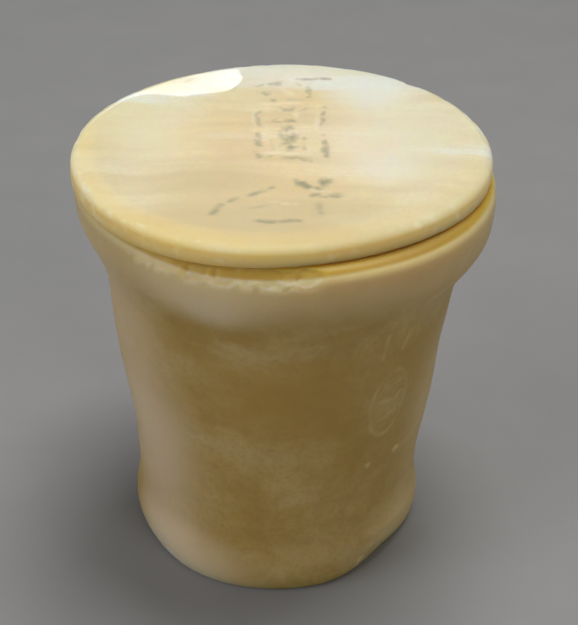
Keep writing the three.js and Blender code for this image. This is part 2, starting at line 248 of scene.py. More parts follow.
# %% Relief helpers
def noise_at(points, scale, seed, octaves=3):
    """Fractal noise of about -1 to 1 at points in millimetres; scale is its coarsest size."""
    shift = Vector((17.3 * seed, -9.1 * seed, 5.7 * seed))
    return np.array([noise.fractal(Vector(p) / scale + shift, 1.0, 2.0, octaves) for p in points])


def segment_distance(u, v, start, end):
    (u0, v0), (u1, v1) = start, end
    du, dv = u1 - u0, v1 - v0
    t = np.clip(((u - u0) * du + (v - v0) * dv) / (du * du + dv * dv), 0, 1)
    return np.hypot(u - u0 - t * du, v - v0 - t * dv)


def patchy(values, middle, contrast, least=0):
    """Turns noise of -1 to 1 into an amount of least to 1, around a middle."""
    return np.clip(middle + contrast * values, least, 1)


def groove(distance, width):
    """1 in the middle of a stroke, 0 at its sides."""
    return smooth(1 - distance / (width / 2))


FRET_SIZE, DEEPEST_PUSH = 1.4, 1.6


def bite(points, place, outward, across, depth, fret, seed):
    """Pushes the points inside a small ball to its far side, in place; returns how much each moved."""
    radius = (across ** 2 / 4 + depth ** 2) / (2 * depth)
    centre = place + outward * (radius - depth)
    near = np.where(np.linalg.norm(points - place, axis=1) < across)[0]
    if not len(near):
        return np.zeros(len(points))
    offset = points[near] - centre
    ragged = radius + fret * noise_at(points[near], FRET_SIZE, seed, 3)
    along = offset @ outward
    gap = ragged ** 2 - (offset ** 2).sum(1) + along ** 2
    push = np.where(gap > 0, along + np.sqrt(np.maximum(gap, 0)), 0)
    push = np.clip(push, 0, depth * DEEPEST_PUSH)
    points[near] -= push[:, None] * outward
    moved = np.zeros(len(points))
    moved[near] = push
    return moved


def outward_at(azimuth_degrees, up_degrees=0.0):
    turn, up = azimuth_degrees * DEGREE, up_degrees * DEGREE
    return np.array([math.cos(turn) * math.cos(up), math.sin(turn) * math.cos(up), math.sin(up)])


# %% [markdown]
# ## Turning as a Geometry Nodes tree
# Both pieces follow one rule, a line spun round an axis, so one tree makes them. Its object is the
# line itself: a row of points at a radius and a height. A grid with one row for each point is
# wrapped round the axis, row by row. The seam and the two poles then hold doubled points, which are
# merged, so the mesh is closed. Each vertex keeps the number of its ring, and later steps work out
# from it where on the line a vertex came from.

# %% The turning tree
def turning_tree():
    tree = bpy.data.node_groups.new("turned piece", "GeometryNodeTree")
    for label, kind, way in (
        ("Line", "NodeSocketGeometry", "INPUT"), ("Steps", "NodeSocketInt", "INPUT"),
        ("Merge Distance", "NodeSocketFloat", "INPUT"), ("Stone", "NodeSocketMaterial", "INPUT"),
        ("Piece", "NodeSocketGeometry", "OUTPUT"),
    ):
        tree.interface.new_socket(name=label, in_out=way, socket_type=kind)
    add, join = tree.nodes.new, tree.links.new
    given, result = add("NodeGroupInput"), add("NodeGroupOutput")

    def whole(operation, first, second):
        made = add("FunctionNodeIntegerMath")
        made.operation = operation
        for socket, value in zip(made.inputs, (first, second)):
            if isinstance(value, int):
                socket.default_value = value
            else:
                join(value, socket)
        return made.outputs[0]

    size = add("GeometryNodeAttributeDomainSize")
    join(given.outputs["Line"], size.inputs["Geometry"])
    columns = whole("ADD", given.outputs["Steps"], 1)
    grid = add("GeometryNodeMeshGrid")
    join(size.outputs["Point Count"], grid.inputs["Vertices X"])
    join(columns, grid.inputs["Vertices Y"])
    index = add("GeometryNodeInputIndex").outputs[0]
    ring, step = whole("DIVIDE_FLOOR", index, columns), whole("MODULO", index, columns)

    point = add("GeometryNodeSampleIndex")
    point.data_type, point.domain = "FLOAT_VECTOR", "POINT"
    join(given.outputs["Line"], point.inputs["Geometry"])
    join(add("GeometryNodeInputPosition").outputs[0], point.inputs["Value"])
    join(ring, point.inputs["Index"])
    share = add("ShaderNodeMath")
    share.operation = "DIVIDE"
    join(step, share.inputs[0])
    join(given.outputs["Steps"], share.inputs[1])
    turn = add("ShaderNodeMath")
    turn.operation = "MULTIPLY"
    turn.inputs[1].default_value = 2 * math.pi
    join(share.outputs[0], turn.inputs[0])
    placed = add("ShaderNodeVectorRotate")
    placed.rotation_type = "Z_AXIS"
    join(point.outputs[0], placed.inputs["Vector"])
    join(turn.outputs[0], placed.inputs["Angle"])

    wrap = add("GeometryNodeSetPosition")
    join(grid.outputs["Mesh"], wrap.inputs["Geometry"])
    join(placed.outputs[0], wrap.inputs["Position"])
    keep = add("GeometryNodeStoreNamedAttribute")
    keep.data_type, keep.domain = "INT", "POINT"
    keep.inputs["Name"].default_value = "ring"
    join(ring, keep.inputs["Value"])
    merge, soft = add("GeometryNodeMergeByDistance"), add("GeometryNodeSetShadeSmooth")
    join(given.outputs["Merge Distance"], merge.inputs["Distance"])
    real, finish = add("GeometryNodeRealizeInstances"), add("GeometryNodeSetMaterial")
    join(given.outputs["Stone"], finish.inputs["Material"])
    flow = wrap.outputs[0]
    for made in (keep, merge, soft, real, finish):
        join(flow, made.inputs[0])
        flow = made.outputs[0]
    join(flow, result.inputs["Piece"])
    return tree


TURNING = turning_tree()
MERGE = 1e-6


def turned(name, line, stone):
    """Turns a line in millimetres; returns the piece, and the ring and azimuth of each vertex."""
    base = bpy.data.meshes.new(name + "_line")
    links = [(i, i + 1) for i in range(len(line) - 1)]
    base.from_pydata([(r * MM, 0, z * MM) for r, z in line], links, [])
    piece = bpy.data.objects.new(name, base)
    bpy.context.scene.collection.objects.link(piece)
    modifier = piece.modifiers.new("turning", "NODES")
    modifier.node_group = TURNING
    values = {"Steps": ROUND_STEPS, "Merge Distance": MERGE, "Stone": stone}
    for item in TURNING.interface.items_tree:
        if item.name in values:
            modifier[item.identifier] = values[item.name]
    ready = piece.evaluated_get(bpy.context.evaluated_depsgraph_get())
    mesh = bpy.data.meshes.new_from_object(ready)
    piece.modifiers.remove(modifier)
    piece.data = mesh
    mesh.name = name
    count = len(mesh.vertices)
    ring, places = np.empty(count, np.int32), np.empty(count * 3, np.float32)
    mesh.attributes["ring"].data.foreach_get("value", ring)
    mesh.vertices.foreach_get("co", places)
    places = places.reshape(-1, 3)
    return piece, ring, np.arctan2(places[:, 1], places[:, 0]).astype(float)


def line_normals(line):
    """Outward direction at each point of a line that runs from below, round the outside, to the top."""
    tangent = np.gradient(line, axis=0)
    return np.stack([tangent[:, 1], -tangent[:, 0]], 1) / np.hypot(*tangent.T)[:, None]


def outward_on(line, ring, angle):
    """Outward direction of each vertex of a turned piece."""
    normal = line_normals(line)[ring]
    return np.stack([normal[:, 0] * np.cos(angle), normal[:, 0] * np.sin(angle), normal[:, 1]], 1)


def settle(piece, places, masks):
    """Moves the vertices to places in millimetres and stores the masks on them."""
    mesh = piece.data
    mesh.vertices.foreach_set("co", (places * MM).astype(np.float32).ravel())
    mesh.attributes.remove(mesh.attributes["ring"])
    for mask, values in masks.items():
        layer = mesh.attributes.new(mask, "FLOAT", "POINT")
        layer.data.foreach_set("value", values.astype(np.float32))
    mesh.update()


def count_triangles(piece):
    return sum(len(p.vertices) - 2 for p in piece.data.polygons)


WALL_STONE, LID_STONE = bpy.data.materials.new("wall_stone"), bpy.data.materials.new("lid_stone")
print("tree:", TURNING.name, "with", len(TURNING.nodes), "nodes")

# %% [markdown]
# ## The jar
# The oval and the few strokes at the front right are shallow cuts that time has half rubbed away:
# they read as paler lines more than as depth. Just below its top the rim's front has lost a row of
# small flakes, one of them deep enough to show as a notch, and between them the arris is fretted.
# Four small flakes are gone from the foot and two from the wall below the oval. Where the lid
# stops short of the rim's edge, the rim's top is painted with a narrow golden shade, and a painted
# glow runs along the rim's arris.

# %% Jar relief values
MARK_AZIMUTH, MARK_HEIGHT = -49, 30.0
RING_HALF_WIDTH, RING_HALF_HEIGHT, RING_WIDTH = 3.1, 5.6, 0.8
STROKE_WIDTH, STROKE_DEPTH = 0.8, 0.28
WALL_STROKES = (
    ((-1.6, 3.0), (1.6, 3.4)), ((-1.9, 0.9), (0.2, 0.4)), ((0.8, 0.2), (1.9, 1.2)),
    ((-1.3, -2.4), (1.4, -2.1)), ((-2.6, 8.6), (-2.2, 12.4)), ((0.6, 9.2), (1.6, 12.0)),
)
# azimuth, drop below the rim's top, width, depth
RIM_SCARS = (
    (-127, 1.7, 1.8, 0.2), (-122, 1.9, 2.6, 0.3), (-117.5, 1.5, 1.6, 0.3), (-113.5, 1.9, 2.8, 0.6),
    (-109.5, 1.5, 1.6, 0.3), (-105, 1.9, 2.6, 0.35), (-99, 1.4, 1.8, 0.3), (-94, 1.7, 2.2, 0.25),
    (-89, 1.4, 1.6, 0.2), (-84, 1.5, 2.0, 0.2),
)
# azimuth, height, width, depth
WALL_SCARS = (
    (-137, 1.2, 1.5, 0.35), (-153, 2.0, 1.3, 0.3), (-52, 1.6, 1.8, 0.4), (-47, 3.6, 1.3, 0.25),
    (-39, 19.8, 1.7, 0.36), (-53, 19.5, 0.9, 0.12),
)
# depth and size of the unevenness that grinding left, slow and fine
SLOW_GRIND, FINE_GRIND = (0.09, 15), (0.02, 2.6)
CRUMBLE = dict(azimuth=-107, half=30, drop=2.0, reach=1.2, depth=0.3, band=2.4, size=1.3, rise=2.2)
RIM_FRET, WALL_FRET, FRET_SPREAD = 0.35, 0.3, 1.1
# a flake on an arris comes off at this slope, in degrees, from a little inside the widest place
FLAKE_SLOPE, RIM_INSET = 45, 0.25
# how pale a flake's break is, and how deep a cut shows its full paleness
RIM_BRUISE, WALL_BRUISE = (0.7, 0.25), (0.5, 0.15)
# how far below the rim's top the painted glow reaches, and how deep the painted shade on its top
# reaches
RIM_GLOW, UNDER_DROP, UNDER_SOFT = 2.0, 0.8, 0.5
# in front, where the arris is flaked, the painted shade and the painted glow sit lower: depth, half
# width in degrees
FRONT_DROP, FRONT_HALF = 0.65, 45
# azimuth and half width of the side where the painted glow is weaker, and how much weaker
DIM_SIDE, DIM_AMOUNT = (0, 50), 0.75
# azimuth and half width of the side where the painted shade on the rim's top is deeper
SHADE_SIDE = (-50, 50)
# the rim's top counts from this far outside the mouth, over this width
TOP_FROM, TOP_OVER = 3, 2
# how much of the paleness of broken stone is lost in the painted shade
SHADE_HIDES = 0.9

# %% Build the jar
jar, ring, angle = turned("jar_stone", jar_line, WALL_STONE)
reach, rise = jar_line[ring].T
flat = jar_surface(angle, reach, rise)
out = outward_on(jar_line, ring, angle)
outside = (ring < np.argmax(jar_line[:, 1])) & (rise > TOUCH)
inner_ring = len(jar_line) - np.argmax(jar_line[::-1, 1])

cut = np.zeros(len(flat))
where = np.where(outside)[0]
for seed, (depth, size) in enumerate((SLOW_GRIND, FINE_GRIND), 1):
    cut[where] += depth * (0.5 + 0.5 * noise_at(flat[where], size, seed, 2))

# %% The fretted arris between the flakes
band = 1 - apart(angle, CRUMBLE["azimuth"]) / CRUMBLE["half"]
near_arris = smooth(1 - np.abs(JAR_HEIGHT - CRUMBLE["drop"] - rise) / CRUMBLE["reach"])
near_arris = near_arris * (reach > RIM_RADIUS - CRUMBLE["band"])
fretted = np.where(outside & (band > 0), smooth(band * CRUMBLE["rise"]) * near_arris, 0)
where = np.where(fretted > 0.01)[0]
rough = noise_at(flat[where], CRUMBLE["size"], 3, 3)
cut[where] += CRUMBLE["depth"] * fretted[where] * patchy(rough, 0.25, 1)
bruise = np.zeros(len(flat))
bruise[where] = fretted[where] * patchy(rough, 0.4, 2.4)
print("fretted points on the rim:", len(where))

# %% The oval and the strokes
u = ((angle / DEGREE - MARK_AZIMUTH + 180) % 360 - 180) * DEGREE * wall_radius(MARK_HEIGHT)
v = rise - MARK_HEIGHT
oval = np.hypot(u / RING_HALF_WIDTH, v / RING_HALF_HEIGHT)
oval_line = groove(np.abs(oval - 1) * math.sqrt(RING_HALF_WIDTH * RING_HALF_HEIGHT), RING_WIDTH)
strokes = [groove(segment_distance(u, v, *ends), STROKE_WIDTH) for ends in WALL_STROKES]
lines = np.max([oval_line] + strokes, axis=0)
incised = np.where(outside, lines, 0)
where = np.where(incised > 0)[0]
incised[where] *= patchy(noise_at(flat[where], 3.0, 4, 2), 0.55, 1.1, 0.1)
cut += STROKE_DEPTH * incised
flat -= cut[:, None] * out
print("points in the oval and strokes:", len(where))

# %% The flakes
for seed, (turn, drop, across, depth) in enumerate(RIM_SCARS):
    radius = RIM_RADIUS - RIM_ARRIS_WIDTH * RIM_INSET
    place = jar_surface(np.float64(turn * DEGREE), radius, JAR_HEIGHT - drop)
    away = outward_at(turn, FLAKE_SLOPE)
    moved = bite(flat, place, away, across * FRET_SPREAD, depth, RIM_FRET, 10 + seed)
    bruise = np.maximum(bruise, smooth(moved / RIM_BRUISE[1]) * RIM_BRUISE[0])
for seed, (turn, level, across, depth) in enumerate(WALL_SCARS):
    place = jar_surface(np.float64(turn * DEGREE), wall_radius(level), level)
    moved = bite(flat, place, outward_at(turn), across, depth, WALL_FRET, 30 + seed)
    bruise = np.maximum(bruise, smooth(moved / WALL_BRUISE[1]) * WALL_BRUISE[0])
# nothing goes below the ground
np.maximum(flat[:, 2], 0, out=flat[:, 2])
print("flakes:", len(RIM_SCARS), "on the rim and", len(WALL_SCARS), "on the wall and foot")

# %% The rim's painted glow and painted shade
# a painted glow on its arris, where light would come through the stone, and painted shade on its flat
# top beside the lid
on_rim = smooth((reach - MOUTH_RADIUS - TOP_FROM) / TOP_OVER) * (ring < inner_ring)
below = JAR_HEIGHT - rise - FRONT_DROP * facing(angle, CRUMBLE["azimuth"], FRONT_HALF)
painted_rim_shade = smooth((UNDER_DROP - below) / UNDER_SOFT) * on_rim
painted_glow = smooth((RIM_GLOW - below) / (RIM_GLOW - UNDER_DROP)) * on_rim * (1 - painted_rim_shade)
painted_glow *= 1 - DIM_AMOUNT * facing(angle, *DIM_SIDE)
painted_side_shade = painted_rim_shade * facing(angle, *SHADE_SIDE)
settle(jar, flat, {
    "bruise": bruise * (1 - SHADE_HIDES * painted_rim_shade), "incised": incised,
    "edge": painted_glow, "painted_rim_shade": painted_rim_shade, "painted_side_shade": painted_side_shade,
})
print("jar:", count_triangles(jar), "triangles")

# %% [markdown]
# ## The lid
# A sawn disc, rubbed flat on top, with soft arrises, more worn in front, and a low boss below.
# Remains of blue-green pigment lie in some of the shallow strokes down its middle. Others have lost
# theirs and show as bare pale lines. The strokes are short plain marks in rows, not signs. One loop
# cuts them all and stores two masks, one for the pigment and one for the bare strokes.

# %% Lid values
# start, end, width, strength of the pigment; below zero the stroke is bare and pale
LID_STROKES = (
    ((-2.8, 12.6), (2.4, 12.9), 1.1, -0.8), ((-4.0, 10.8), (-4.0, 4.0), 1.0, -0.7),
    ((4.6, 12.4), (4.5, 4.6), 1.0, -0.7), ((1.8, 9.8), (2.6, 5.4), 1.2, -0.8),
    ((-2.4, 5.8), (-2.0, 0.6), 1.1, -0.7), ((-2.6, -2.8), (2.8, -2.6), 1.3, -0.9),
    ((3.4, 1.0), (3.2, -3.0), 1.1, -0.7), ((-0.4, 18.2), (1.2, 16.0), 1.2, -0.7),
    ((3.6, -12.8), (5.4, -13.2), 1.4, -0.9), ((-1.6, -16.2), (1.8, -16.6), 1.0, -0.6),
    ((-3.6, 19.0), (-0.8, 19.8), 2.4, 0.8), ((-2.6, 16.6), (-1.4, 14.0), 2.2, 0.7),
    ((2.2, 21.2), (6.4, 21.8), 2.0, 0.95), ((2.4, 20.0), (3.2, 15.6), 2.3, 1.0),
    ((-0.6, 22.4), (-0.4, 20.4), 1.4, 0.5), ((0.2, 14.4), (2.8, 14.0), 1.5, 0.45),
    ((-3.6, 11.4), (-3.4, 5.6), 1.6, 0.6), ((-0.8, 11.0), (2.6, 11.2), 2.3, 0.75),
    ((5.4, 11.6), (5.4, 6.0), 1.5, 0.75), ((-0.8, 7.4), (2.6, 7.0), 2.2, 0.8),
    ((0.5, 4.4), (0.9, -0.8), 3.6, 1.0), ((-3.4, 3.0), (-3.2, -3.8), 1.8, 0.8),
    ((-1.6, 2.2), (-1.4, -1.4), 1.4, 0.5), ((2.8, 2.0), (2.8, -1.6), 1.4, 0.55),
    ((5.3, 2.8), (5.4, -3.6), 1.6, 0.85), ((-1.6, -4.2), (3.4, -4.4), 2.2, 0.75),
    ((-8.4, -19.4), (-7.4, -16.8), 1.5, 0.85), ((-6.8, -16.2), (-4.4, -14.8), 1.5, 0.85),
    ((-3.8, -14.4), (-1.4, -12.4), 1.5, 0.8), ((-4.4, -17.6), (-2.2, -17.4), 1.3, 0.45),
    ((2.3, -10.6), (3.3, -12.0), 2.8, 1.0), ((5.4, -10.4), (4.5, -12.2), 2.6, 1.0),
    ((4.0, -14.4), (6.8, -14.4), 2.0, 0.95), ((4.2, -16.6), (4.6, -18.8), 2.0, 0.55),
    ((-3.2, -21.2), (1.8, -21.0), 1.6, 0.8),
)
LID_STROKE_DEPTH, STROKE_SPREAD, STROKE_FIELD = 0.022, 1.25, 12
# size and amount by which a stroke wanders off its line, and size of the breaks in it
WANDER_SIZE, WANDER, BREAK_SIZE = 2.6, 0.35, 1.8
# azimuth, width, depth of the one nick; how far its edge is fretted; depth of full paleness
LID_NICK, NICK_FRET, NICK_BRUISE = (48, 3.0, 0.5), 0.3, 0.15
LID_GRIND, NIBBLE, NIBBLE_SIZE = (0.05, 11), 0.16, 2.2
# how far in from the edge the painted glow reaches, how strong it is on top, and what the front adds
EDGE_GLOW, TOP_GLOW, FRONT_GLOW = 4.5, 0.1, 0.5
# height of the painted shade at the foot of the lid's edge, next to the rim
SKIRT_HEIGHT = 1.1
# azimuth and half width of the front with the stronger painted glow, and of the side where the painted
# glow and the painted shade are weaker
GLOW_SIDE, LID_DIM_SIDE = (-120, 100), (-20, 60)
EDGE_DIM, SKIRT_DIM = 0.35, 0.5
# step lengths along the lid's line
BOSS_TURN_STEP, BOSS_SIDE_STEP, SEAT_STEP, UNDER_STEP = 0.3, 0.6, 1.6, 0.2
EDGE_STEP, ARRIS_STEP, TOP_STEP = 0.25, 0.15, 0.235

boss_foot, lid_top = JAR_HEIGHT - BOSS_HEIGHT, JAR_HEIGHT + LID_THICKNESS
boss = MOUTH_RADIUS - BOSS_CLEARANCE
edge_low, edge_high = JAR_HEIGHT + LID_UNDER_ROUND, lid_top - LID_TOP_ROUND
under_turn, top_turn = (LID_RADIUS - LID_UNDER_ROUND, JAR_HEIGHT), (LID_RADIUS - LID_TOP_ROUND, lid_top)
lid_line = even([
    ([(0, boss_foot), (boss - BOSS_ROUND, boss_foot)], HIDDEN_STEP),
    ([(boss - BOSS_ROUND, boss_foot), (boss, boss_foot),
      (boss, boss_foot + BOSS_ROUND)], BOSS_TURN_STEP),
    ([(boss, boss_foot + BOSS_ROUND), (boss, JAR_HEIGHT)], BOSS_SIDE_STEP),
    ([(boss, JAR_HEIGHT), under_turn], SEAT_STEP),
    ([under_turn, (LID_RADIUS, JAR_HEIGHT), (LID_RADIUS, edge_low)], UNDER_STEP),
    ([(LID_RADIUS, edge_low), (LID_RADIUS + 2 * LID_EDGE_BULGE, (edge_low + edge_high) / 2),
      (LID_RADIUS, edge_high)], EDGE_STEP),
    ([(LID_RADIUS, edge_high), (LID_RADIUS, lid_top), top_turn], ARRIS_STEP),
    ([top_turn, (0, lid_top)], TOP_STEP),
])

# %% Build the lid
lid, ring, angle = turned("lid_stone", lid_line, LID_STONE)
reach, rise = lid_line[ring].T
flat = lid_surface(angle, reach, rise)
out = outward_on(lid_line, ring, angle)
upper = rise > JAR_HEIGHT + TOUCH
top = rise > lid_top - TOUCH

cut = np.zeros(len(flat))
where = np.where(upper)[0]
cut[where] += LID_GRIND[0] * (0.5 + 0.5 * noise_at(flat[where], LID_GRIND[1], 5, 2))
edge = np.where(upper & ~top)[0]
frayed = noise_at(flat[edge], NIBBLE_SIZE, 6, 3)
cut[edge] += NIBBLE * patchy(frayed, -0.05, 1)
bruise = np.zeros(len(flat))
bruise[edge] = patchy(frayed, -0.35, 1.6)
print("points on the nibbled edge:", len(edge))

# %% The lid's strokes
ink, pale = np.zeros(len(flat)), np.zeros(len(flat))
x, y = flat[:, 0], flat[:, 1]
where = np.where(top & (np.abs(x) < STROKE_FIELD))[0]
broken = noise_at(flat[where], BREAK_SIZE, 7, 3)
wander = WANDER * noise_at(flat[where], WANDER_SIZE, 8, 2)
stroke_depth = np.zeros(len(where))
for start, end, width, strength in LID_STROKES:
    distance = segment_distance(x[where] + wander, y[where] + wander, start, end)
    mark = groove(distance, width * STROKE_SPREAD)
    stroke_depth = np.maximum(stroke_depth, mark)
    mask = ink if strength > 0 else pale
    left = abs(strength) * mark * patchy(broken, 0.7, 1.1, 0.1)
    mask[where] = np.maximum(mask[where], left)
cut[where] += LID_STROKE_DEPTH * stroke_depth
flat -= cut[:, None] * out
print("strokes:", len(LID_STROKES))

# %% The nick, the painted glow and the painted shade at the foot of the edge
turn, across, depth = LID_NICK
place = lid_surface(np.float64(turn * DEGREE), LID_RADIUS - LID_TOP_ROUND / 2, np.float64(lid_top))
moved = bite(flat, place, outward_at(turn, FLAKE_SLOPE), across, depth, NICK_FRET, 50)
bruise = np.maximum(bruise, smooth(moved / NICK_BRUISE))

# painted glow near the edge, where light would come through the stone from the side
painted_glow_strength = TOP_GLOW + FRONT_GLOW * facing(angle, *GLOW_SIDE)
painted_glow = painted_glow_strength * smooth((reach - LID_RADIUS + EDGE_GLOW) / (EDGE_GLOW - LID_TOP_ROUND))
painted_glow = np.maximum(painted_glow, smooth((lid_top - rise) / LID_TOP_ROUND)) * upper
painted_dim_side = facing(angle, *LID_DIM_SIDE)
painted_glow *= 1 - EDGE_DIM * painted_dim_side
painted_skirt_shade = smooth(1 - (rise - JAR_HEIGHT) / SKIRT_HEIGHT) * upper * (1 - SKIRT_DIM * painted_dim_side)
settle(lid, flat, {
    "bruise": bruise * (1 - painted_skirt_shade), "ink": ink, "pale": pale, "edge": painted_glow, "painted_skirt_shade": painted_skirt_shade,
})
print("lid:", count_triangles(lid), "triangles")

# %% [markdown]
# ## Stone as node groups
# Travertine is laid down in thin layers of calcite, so its pattern is cloudy one way and streaked
# the other. The layers cross both pieces, so one group makes the clouds and the streaks for both
# materials, each with its own scale, stretch and turn. A second group gives the fine surface: the
# pores and the rubbing that a polished stone keeps after three thousand years.

# %% Node helpers
def new_group(name, inputs, outputs):
    group = bpy.data.node_groups.new(name, "ShaderNodeTree")
    for label, kind, value in inputs:
        socket = group.interface.new_socket(name=label, in_out="INPUT", socket_type=kind)
        if value is not None:
            socket.default_value = value
    for label, kind in outputs:
        group.interface.new_socket(name=label, in_out="OUTPUT", socket_type=kind)
    return group, group.nodes.new("NodeGroupInput"), group.nodes.new("NodeGroupOutput")


def node(tree, kind, settings=None, **inputs):
    """Adds a node. A keyword names an input, as Base_Color or as i0 for the first, and fills it."""
    made = tree.nodes.new(kind)
    for key, value in (settings or {}).items():
        setattr(made, key, value)
    for key, value in inputs.items():
        numbered = key[0] == "i" and key[1:].isdigit()
        socket = made.inputs[int(key[1:]) if numbered else key.replace("_", " ")]
        if isinstance(value, bpy.types.NodeSocket):
            tree.links.new(value, socket)
        else:
            socket.default_value = value
    return made


def math_node(tree, operation, first, second=0.0):
    return node(tree, "ShaderNodeMath", {"operation": operation}, i0=first, i1=second).outputs[0]


def times(tree, first, second):
    return math_node(tree, "MULTIPLY", first, second)


def stored(tree, name):
    """What settle() stored on the mesh under a name."""
    return node(tree, "ShaderNodeAttribute", {"attribute_name": name}).outputs["Fac"]


def ramp(tree, value, low, high):
    """Maps low to 0 and high to 1, held within them, with a soft start and end."""
    made = node(tree, "ShaderNodeMapRange", {"interpolation_type": "SMOOTHSTEP", "clamp": True},
                Value=value, From_Min=low, From_Max=high)
    return made.outputs["Result"]


def blend(tree, factor, first, second):
    """Mixes two colours by a factor."""
    made = node(tree, "ShaderNodeMix", {"data_type": "RGBA"})
    for socket, value in zip((made.inputs[0], made.inputs[6], made.inputs[7]), (factor, first, second)):
        if isinstance(value, bpy.types.NodeSocket):
            tree.links.new(value, socket)
        else:
            socket.default_value = value
    return made.outputs[2]


# %% Clouds and streaks
# a scale of 1000 is a pattern one millimetre in size
BEND_SCALE, MOTTLE_SCALE, SPECK_SCALE, VEIN_WIDTH = 70.0, 330.0, 1500.0, 0.02
bands, given, result = new_group(
    "calcite bands",
    [("Vector", "NodeSocketVector", None), ("Cloud Scale", "NodeSocketFloat", 60.0),
     ("Streak Scale", "NodeSocketFloat", 90.0), ("Warp", "NodeSocketFloat", 0.004),
     ("Turn", "NodeSocketVector", (0.0, 0.0, 0.0)), ("Stretch", "NodeSocketVector", (1.0, 1.0, 1.0))],
    [("Cloud", "NodeSocketFloat"), ("Streak", "NodeSocketFloat"), ("Mottle", "NodeSocketFloat"),
     ("Vein", "NodeSocketFloat"), ("Speck", "NodeSocketFloat")],
)
bend = node(bands, "ShaderNodeTexNoise", Vector=given.outputs["Vector"], Scale=BEND_SCALE, Detail=2.0)
centred = node(bands, "ShaderNodeVectorMath", {"operation": "SUBTRACT"},
               i0=bend.outputs["Color"], i1=(0.5, 0.5, 0.5))
pull = node(bands, "ShaderNodeVectorMath", {"operation": "SCALE"}, i0=centred.outputs[0],
            Scale=given.outputs["Warp"])
bent = node(bands, "ShaderNodeVectorMath", {"operation": "ADD"},
            i0=given.outputs["Vector"], i1=pull.outputs[0])
laid = node(bands, "ShaderNodeMapping", Vector=bent.outputs[0], Rotation=given.outputs["Turn"],
            Scale=given.outputs["Stretch"])
cloud = node(bands, "ShaderNodeTexNoise", Vector=bent.outputs[0], Scale=given.outputs["Cloud Scale"],
             Detail=4.0, Roughness=0.5)
streak = node(bands, "ShaderNodeTexNoise", Vector=laid.outputs[0], Scale=given.outputs["Streak Scale"],
              Detail=3.0, Roughness=0.5)
speck = node(bands, "ShaderNodeTexNoise", Vector=given.outputs["Vector"], Scale=SPECK_SCALE,
             Detail=3.0, Roughness=0.6)
mottle = node(bands, "ShaderNodeTexNoise", Vector=bent.outputs[0], Scale=MOTTLE_SCALE,
              Detail=4.0, Roughness=0.6)
seam = node(bands, "ShaderNodeTexNoise", Vector=laid.outputs[0], Scale=given.outputs["Streak Scale"],
            Detail=1.5)
off_seam = math_node(bands, "ABSOLUTE", math_node(bands, "SUBTRACT", seam.outputs[0], 0.5))
vein = math_node(bands, "SUBTRACT", 1.0, ramp(bands, off_seam, 0.0, VEIN_WIDTH))
for label, socket in (
    ("Cloud", cloud.outputs[0]), ("Streak", streak.outputs[0]), ("Mottle", mottle.outputs[0]),
    ("Vein", vein), ("Speck", speck.outputs[0]),
):
    bands.links.new(socket, result.inputs[label])
print("group:", bands.name, "with", len(bands.nodes), "nodes")

# %% Fine surface
FINE_SCALE, SWELL_SCALE, PORE_SCALE, PORE_EDGE = 900.0, 220.0, 420.0, (0.06, 0.22)
FINE_HEIGHT, BRUISE_HEIGHT, PORE_DEPTH = 0.35, 2.5, 0.8
skin, given, result = new_group(
    "rubbed surface",
    [("Vector", "NodeSocketVector", None), ("Pore Amount", "NodeSocketFloat", 0.5),
     ("Bruise", "NodeSocketFloat", 0.0)],
    [("Height", "NodeSocketFloat")],
)
fine = node(skin, "ShaderNodeTexNoise", Vector=given.outputs["Vector"], Scale=FINE_SCALE,
            Detail=4.0, Roughness=0.6)
swell = node(skin, "ShaderNodeTexNoise", Vector=given.outputs["Vector"], Scale=SWELL_SCALE, Detail=2.0)
cell = node(skin, "ShaderNodeTexVoronoi", Vector=given.outputs["Vector"], Scale=PORE_SCALE)
in_pore = math_node(skin, "SUBTRACT", 1.0, ramp(skin, cell.outputs["Distance"], *PORE_EDGE))
pore = times(skin, in_pore, given.outputs["Pore Amount"])
grain = math_node(skin, "ADD", times(skin, fine.outputs[0], FINE_HEIGHT), swell.outputs[0])
broken = times(skin, given.outputs["Bruise"], times(skin, fine.outputs[0], BRUISE_HEIGHT))
grain = math_node(skin, "ADD", grain, broken)
height = math_node(skin, "SUBTRACT", grain, times(skin, pore, PORE_DEPTH))
skin.links.new(height, result.inputs["Height"])
print("group:", skin.name, "with", len(skin.nodes), "nodes")

# %% [markdown]
# ## The stone of the wall and of the lid
# The stone lets light in and gives it back warmer, so both materials scatter light below the
# surface, with red going furthest. The base colour is mixed from four tones: a warm one, a pale one
# that follows the clouds, a milky one that follows the streaks, and a deeper one for tan streaks,
# veins and grain. Soft spots then place the large pale and warm areas: on the lid the stone's own,
# on the wall partly the stone's and partly painted light and painted shade. Edges carry a painted
# golden glow, and painted shade lies along the foot of the lid's edge and on the rim's top. Bruised
# stone is paler and rougher. A thin polish is left on the lid's top; the pigment and the edge are dull.

# %% Soft places and layers
SPOT_CORE = 0.15


def soft_spot(tree, position, centre, size):
    """1 at a place in millimetres, falling to 0 at the given half sizes around it."""
    shift = tuple(-c / s for c, s in zip(centre, size))
    scale = tuple(1 / (s * MM) for s in size)
    moved = node(tree, "ShaderNodeMapping", {"vector_type": "POINT"}, Vector=position,
                 Location=shift, Scale=scale)
    far = node(tree, "ShaderNodeVectorMath", {"operation": "LENGTH"}, i0=moved.outputs[0])
    return math_node(tree, "SUBTRACT", 1.0, ramp(tree, far.outputs["Value"], SPOT_CORE, 1.0))


def lay_spots(tree, position, colour, spots):
    """Blends soft spots over a colour: each is a centre, half sizes, a tone and an amount."""
    for centre, size, tone, amount in spots:
        spot = times(tree, soft_spot(tree, position, centre, size), amount)
        colour = blend(tree, spot, colour, tone)
    return colour


